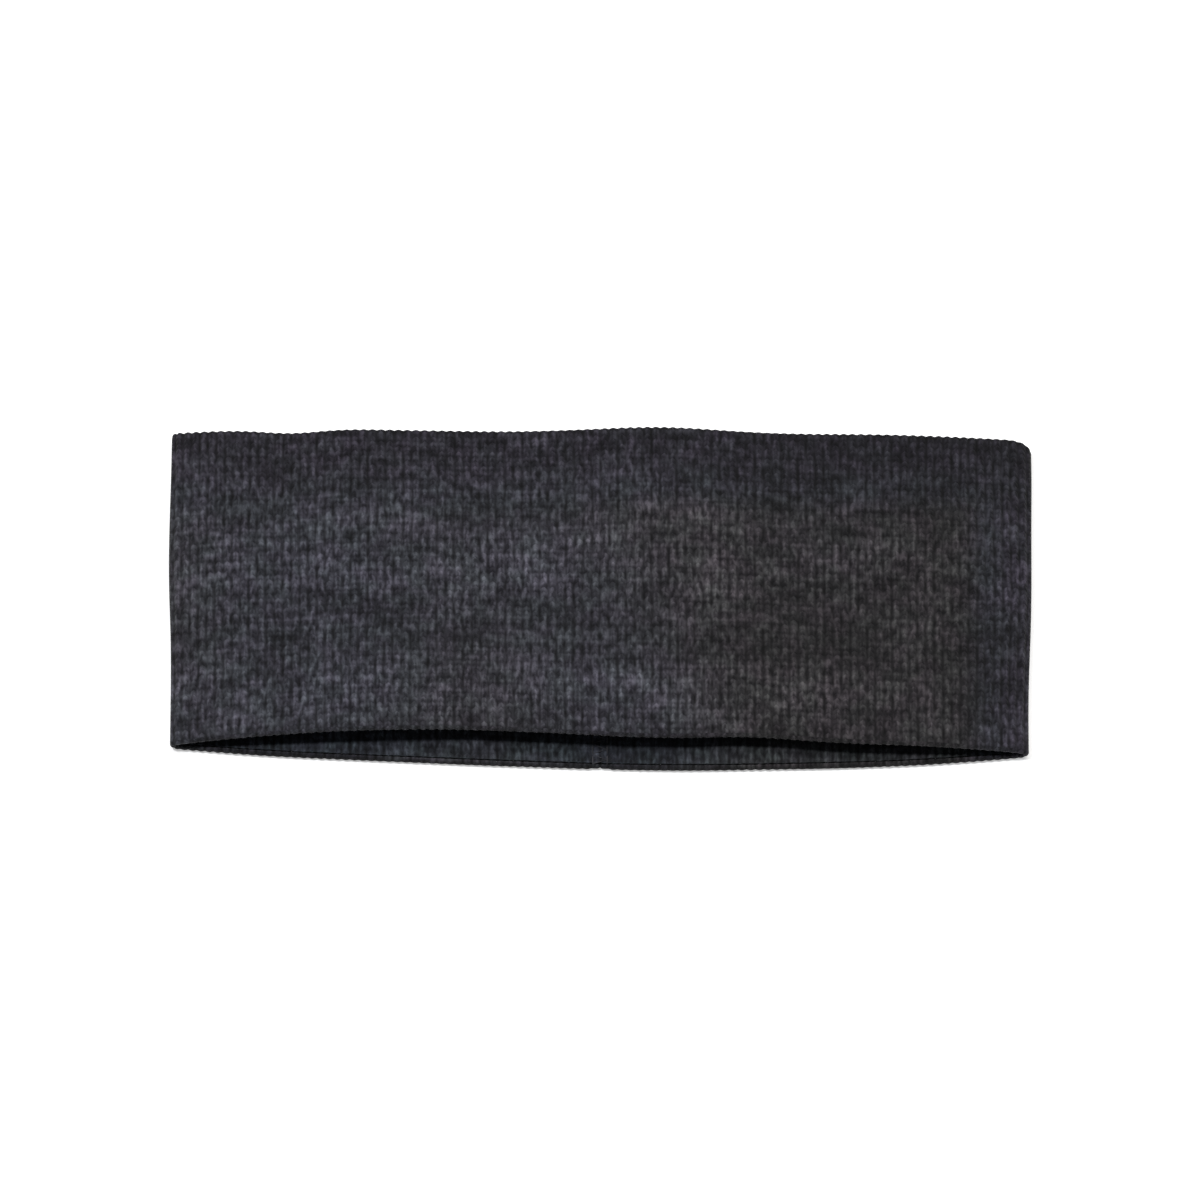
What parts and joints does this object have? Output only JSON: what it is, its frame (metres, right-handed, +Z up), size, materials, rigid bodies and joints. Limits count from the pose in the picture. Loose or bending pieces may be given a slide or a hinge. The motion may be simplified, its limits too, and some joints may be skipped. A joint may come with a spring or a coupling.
{
  "type": "sports headband",
  "caption": "Wide stretch headband of ribbed heather knit, a closed two-ply loop lying flat, with turned edges, back seams and an inside label.",
  "frame": {"origin": "centre of the bounding box on the surface that the band lies on", "axes": "+X across the flat band from side fold to side fold, +Y from the lower edge to the upper edge, +Z up out of the surface through the two halves"},
  "size_m": [0.24, 0.0962, 0.012],
  "materials": {
    "rib_knit": "charcoal heather rib knit, matt and slightly fuzzy",
    "rib_knit_lining": "charcoal heather rib knit, matt, a little cooler",
    "overlock_thread": "dark textured polyester thread",
    "seam_thread": "dark polyester thread with a faint sheen",
    "label_satin": "pale woven satin, blank",
    "label_thread": "pale polyester thread"
  },
  "bodies": {
    "root": {"outer_shell": "rib_knit", "inner_lining": "rib_knit_lining", "top_edge_seam": "overlock_thread", "bottom_edge_seam": "overlock_thread", "shell_back_seam": "seam_thread", "lining_back_seam": "seam_thread", "closing_stitches": "seam_thread", "care_label": "label_satin", "label_stitches": "label_thread"}
  },
  "joints": []
}
